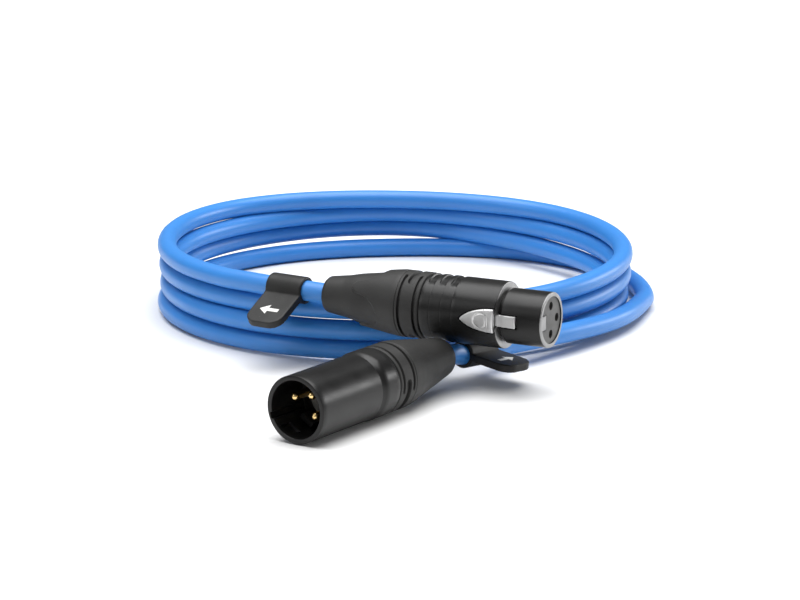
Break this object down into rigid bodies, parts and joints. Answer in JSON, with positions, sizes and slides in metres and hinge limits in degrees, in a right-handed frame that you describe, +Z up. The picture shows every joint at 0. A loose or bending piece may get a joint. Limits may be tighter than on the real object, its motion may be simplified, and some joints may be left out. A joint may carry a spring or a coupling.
{
  "type": "xlr cable",
  "caption": "Balanced microphone cable with locking round three-pole plugs at both ends, wound in a flat coil with a soft name tag behind each plug.",
  "frame": {"origin": "centre of the footprint at the floor that the coil rests on", "axes": "+Z up out of the floor, the coil's own axis; +Y from the two plugs across the coil to its far side; +X to the right for someone facing the plugs from their side"},
  "size_m": [0.1586, 0.2447, 0.032],
  "materials": {
    "jacket": "smooth soft PVC, satin",
    "shell": "satin black",
    "male_insert": "satin",
    "female_insert": "satin",
    "contact": "gold-plated, polished",
    "steel": "plain",
    "core_screen": "smooth",
    "core_red": "smooth",
    "core_white": "smooth",
    "chuck": "satin",
    "bushing": "satin",
    "boot": "matte",
    "latch": "satin nickel",
    "tag": "matte"
  },
  "bodies": {
    "cable": {"cable_coil": "jacket", "cable_tail_male": "jacket", "cable_tail_female": "jacket", "male_shell": "shell", "male_insert": "male_insert", "male_pin_1": "contact", "male_pin_2": "contact", "male_pin_3": "contact", "male_ground_tab": "steel", "male_core_1": "core_screen", "male_core_2": "core_red", "male_core_3": "core_white", "female_shell": "shell", "female_insert": "female_insert", "female_socket_1": "contact", "female_socket_2": "contact", "female_socket_3": "contact", "female_ground_tab": "steel", "female_core_1": "core_screen", "female_core_2": "core_red", "female_core_3": "core_white", "latch_pin": "steel", "latch_spring": "steel"},
    "latch": {"latch": "latch"},
    "male_chuck": {"male_chuck": "chuck"},
    "male_boot": {"male_bushing": "bushing", "male_boot": "boot"},
    "female_chuck": {"female_chuck": "chuck"},
    "female_boot": {"female_bushing": "bushing", "female_boot": "boot"},
    "male_tag": {"male_tag": "tag"},
    "female_tag": {"female_tag": "tag"}
  },
  "joints": [
    {"name": "latch_press", "type": "hinge", "parent": "cable", "child": "latch", "pos_m": [0.01477, -0.05993, 0.0222], "axis": [0, 0, 1], "range_deg": [0, 4.3], "stiffness_Nm_per_rad": 0.35, "springref_deg": -6.88},
    {"name": "male_boot_back_off", "type": "slide", "parent": "cable", "child": "male_chuck", "axis": [0.5736, 0.8192, 0], "range_m": [0, 0.00025]},
    {"name": "male_boot_turn", "type": "hinge", "parent": "male_chuck", "child": "male_boot", "pos_m": [-0.00152, -0.07614, 0.0098], "axis": [0.5736, 0.8192, 0], "range_deg": [0, 90]},
    {"name": "female_boot_back_off", "type": "slide", "parent": "cable", "child": "female_chuck", "axis": [-0.8949, 0.4462, 0], "range_m": [0, 0.002]},
    {"name": "female_boot_turn", "type": "hinge", "parent": "female_chuck", "child": "female_boot", "pos_m": [-0.00564, -0.0435, 0.0222], "axis": [-0.8949, 0.4462, 0], "range_deg": [0, 720]},
    {"name": "male_tag_swivel", "type": "hinge", "parent": "cable", "child": "male_tag", "pos_m": [0.0197, -0.0471, 0.0078], "axis": [0.6548, 0.753, -0.0655], "range_deg": [-12, 12]},
    {"name": "female_tag_swivel", "type": "hinge", "parent": "cable", "child": "female_tag", "pos_m": [-0.03465, -0.0284, 0.02243], "axis": [-0.8466, 0.5322, 0.004], "range_deg": [-30, 100]}
  ],
  "couplings": [
    {"joint": "male_boot_turn", "follows": "male_boot_back_off", "rad_per_m": 6283.2},
    {"joint": "female_boot_turn", "follows": "female_boot_back_off", "rad_per_m": 6283.2}
  ]
}
